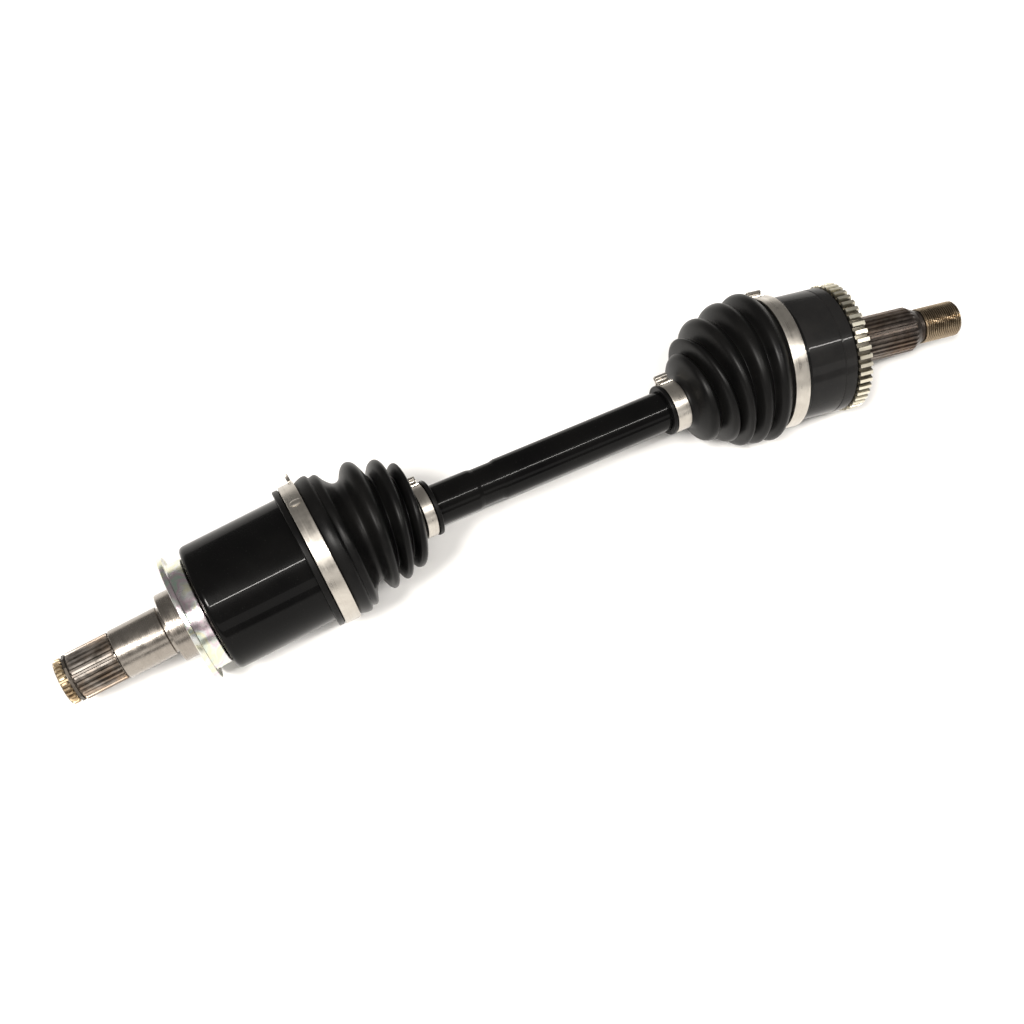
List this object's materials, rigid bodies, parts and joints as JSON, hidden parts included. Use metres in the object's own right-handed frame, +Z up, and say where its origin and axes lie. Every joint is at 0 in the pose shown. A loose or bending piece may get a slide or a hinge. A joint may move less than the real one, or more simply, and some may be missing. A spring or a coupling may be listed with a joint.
{
  "type": "cv axle",
  "caption": "Front drive axle: painted bar with a plunging tripod joint and a fixed ball joint, rubber bellows, band clamps, splined stubs, dust slinger and wheel speed ring.",
  "frame": {"origin": "middle of the bounding box in plan, at the surface the axle lies on", "axes": "+X along the shaft towards the threaded wheel end, +Z up; the inner joint bends about Y, the outer one mostly about Z"},
  "size_m": [0.6244, 0.0988, 0.0974],
  "materials": {
    "inboard_housing": "gloss black paint on the cup, ground steel on the stub",
    "shaft_paint": "gloss black paint",
    "bell_paint": "gloss black paint on the bell, dark oiled steel on the stub",
    "boot_rubber": "satin black moulded rubber",
    "slinger_zinc": "bright zinc with a faint rainbow passivation",
    "tone_ring_zinc": "pale yellowish zinc, sintered",
    "clamp_steel": "satin stainless band",
    "spring_steel": "dark phosphated spring steel",
    "bearing_steel": "ground and polished bearing steel"
  },
  "bodies": {
    "shaft": {"axle_shaft": "shaft_paint", "spider": "bearing_steel", "spider_circlip": "spring_steel", "spider_stop_ring": "spring_steel", "inner_race": "bearing_steel", "race_circlip": "spring_steel", "inboard_small_clamp": "clamp_steel", "outboard_small_clamp": "clamp_steel", "outboard_boot": "boot_rubber", "needle_ring_1": "bearing_steel", "needle_ring_2": "bearing_steel", "needle_ring_3": "bearing_steel", "roller_keeper_1": "spring_steel", "roller_keeper_2": "spring_steel", "roller_keeper_3": "spring_steel"},
    "inboard_boot": {"inboard_boot": "boot_rubber"},
    "inboard_housing": {"inboard_housing": "inboard_housing", "stub_circlip": "spring_steel", "dust_slinger": "slinger_zinc", "inboard_large_clamp": "clamp_steel"},
    "outboard_bell": {"outboard_bell": "bell_paint", "tone_ring": "tone_ring_zinc", "outboard_large_clamp": "clamp_steel"},
    "ball_cage": {"ball_cage": "bearing_steel", "ball_1": "bearing_steel", "ball_2": "bearing_steel", "ball_3": "bearing_steel", "ball_4": "bearing_steel", "ball_5": "bearing_steel", "ball_6": "bearing_steel"},
    "roller_1": {"roller_1": "bearing_steel"},
    "roller_2": {"roller_2": "bearing_steel"},
    "roller_3": {"roller_3": "bearing_steel"}
  },
  "joints": [
    {"name": "inboard_bend", "type": "hinge", "parent": "shaft", "child": "inboard_boot", "pos_m": [-0.159, -0.00208, 0.05008], "axis": [0, 1, 0], "range_deg": [-14.1, 31.9], "deforming": ["inboard_boot"]},
    {"name": "inboard_plunge", "type": "slide", "parent": "inboard_boot", "child": "inboard_housing", "axis": [-0.9893, 0, -0.1461], "range_m": [-0.018, 0.012]},
    {"name": "outboard_bend", "type": "hinge", "parent": "shaft", "child": "outboard_bell", "pos_m": [0.18699, -0.00208, 0.04706], "axis": [-0.0083, 0.2974, -0.9547], "range_deg": [-51.2, 34.8], "deforming": ["outboard_boot"]},
    {"name": "cage_tilt", "type": "hinge", "parent": "shaft", "child": "ball_cage", "pos_m": [0.18699, -0.00208, 0.04706], "axis": [-0.0083, 0.2974, -0.9547], "range_deg": [-26.12, 17.88]},
    {"name": "roller_1_spin", "type": "hinge", "parent": "shaft", "child": "roller_1", "pos_m": [-0.159, -0.00208, 0.05008], "axis": [0.0087, 0, 1], "range_deg": [-92, 92]},
    {"name": "roller_2_spin", "type": "hinge", "parent": "shaft", "child": "roller_2", "pos_m": [-0.159, -0.00208, 0.05008], "axis": [-0.0044, -0.866, -0.5], "range_deg": [-92, 92]},
    {"name": "roller_3_spin", "type": "hinge", "parent": "shaft", "child": "roller_3", "pos_m": [-0.159, -0.00208, 0.05008], "axis": [-0.0044, 0.866, -0.5], "range_deg": [-92, 92]}
  ],
  "couplings": [
    {"joint": "cage_tilt", "follows": "outboard_bend", "ratio": 0.5},
    {"joint": "roller_1_spin", "follows": "inboard_plunge", "rad_per_m": 64.516},
    {"joint": "roller_2_spin", "follows": "inboard_plunge", "rad_per_m": 64.516},
    {"joint": "roller_3_spin", "follows": "inboard_plunge", "rad_per_m": 64.516}
  ]
}
